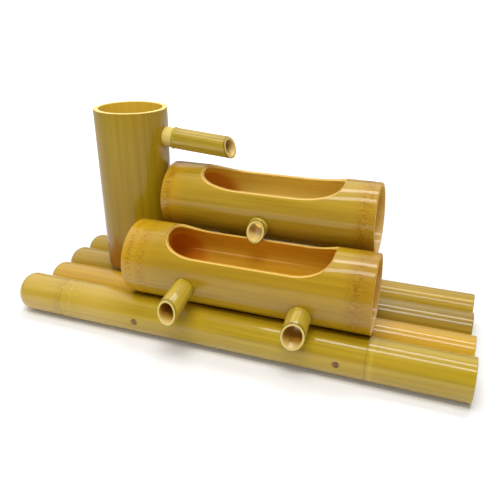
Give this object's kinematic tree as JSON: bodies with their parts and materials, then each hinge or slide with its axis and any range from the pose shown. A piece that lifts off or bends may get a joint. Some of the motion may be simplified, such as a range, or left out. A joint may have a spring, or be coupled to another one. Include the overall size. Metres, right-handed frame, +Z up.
{
  "type": "bamboo cascade fountain",
  "caption": "Tabletop bamboo water feature: a pole raft carries a tall cup and stepped trough tubes, and slanted bamboo spouts pass the water down from one to the next.",
  "frame": {"origin": "on the resting plane, under the middle of the second pole's length", "axes": "+X along the raft, towards the open pole ends; -Y the front, where the lower spouts point; +Z up"},
  "size_m": [0.505, 0.2076, 0.2282],
  "materials": {
    "pole_front": "lacquered bamboo culm, glossy",
    "pole_second": "lacquered bamboo culm, glossy",
    "pole_third": "lacquered bamboo culm, glossy",
    "pole_rear": "lacquered bamboo culm, glossy",
    "dowel": "bare end grain, matte",
    "post": "lacquered bamboo culm, glossy",
    "trough_front": "lacquered bamboo culm, glossy",
    "trough_rear": "lacquered bamboo culm, glossy",
    "cup": "lacquered bamboo culm, glossy",
    "spout_cup": "lacquered bamboo culm, glossy",
    "spout_trough": "lacquered bamboo culm, glossy"
  },
  "bodies": {
    "raft": {"raft_pole_1": "pole_front", "raft_pole_2": "pole_second", "raft_pole_3": "pole_third", "raft_pole_4": "pole_rear", "raft_dowel_left": "dowel", "raft_dowel_right": "dowel", "trough_post_left": "post", "trough_post_right": "post", "front_trough": "trough_front", "rear_trough": "trough_rear"},
    "cup": {"cup": "cup"},
    "cup_spout": {"cup_spout": "spout_cup"},
    "rear_spout": {"rear_spout": "spout_trough"},
    "front_spout_left": {"front_spout_left": "spout_trough"},
    "front_spout_right": {"front_spout_right": "spout_trough"}
  },
  "joints": [
    {"name": "cup_turn", "type": "hinge", "parent": "raft", "child": "cup", "pos_m": [-0.14529, 0.04437, 0.0425], "axis": [0, 0, 1], "continuous": true},
    {"name": "cup_spout_twist", "type": "hinge", "parent": "cup", "child": "cup_spout", "pos_m": [-0.14529, 0.04437, 0.202], "axis": [0.9851, 0.1297, -0.1132], "continuous": true},
    {"name": "rear_spout_twist", "type": "hinge", "parent": "raft", "child": "rear_spout", "pos_m": [0.01876, 0.05566, 0.12854], "axis": [0, -0.9659, -0.2588], "continuous": true},
    {"name": "front_spout_left_twist", "type": "hinge", "parent": "raft", "child": "front_spout_left", "pos_m": [-0.0353, -0.01745, 0.07867], "axis": [0, -0.9759, -0.2181], "continuous": true},
    {"name": "front_spout_right_twist", "type": "hinge", "parent": "raft", "child": "front_spout_right", "pos_m": [0.0872, -0.01745, 0.07867], "axis": [0, -0.8996, -0.4368], "continuous": true}
  ]
}
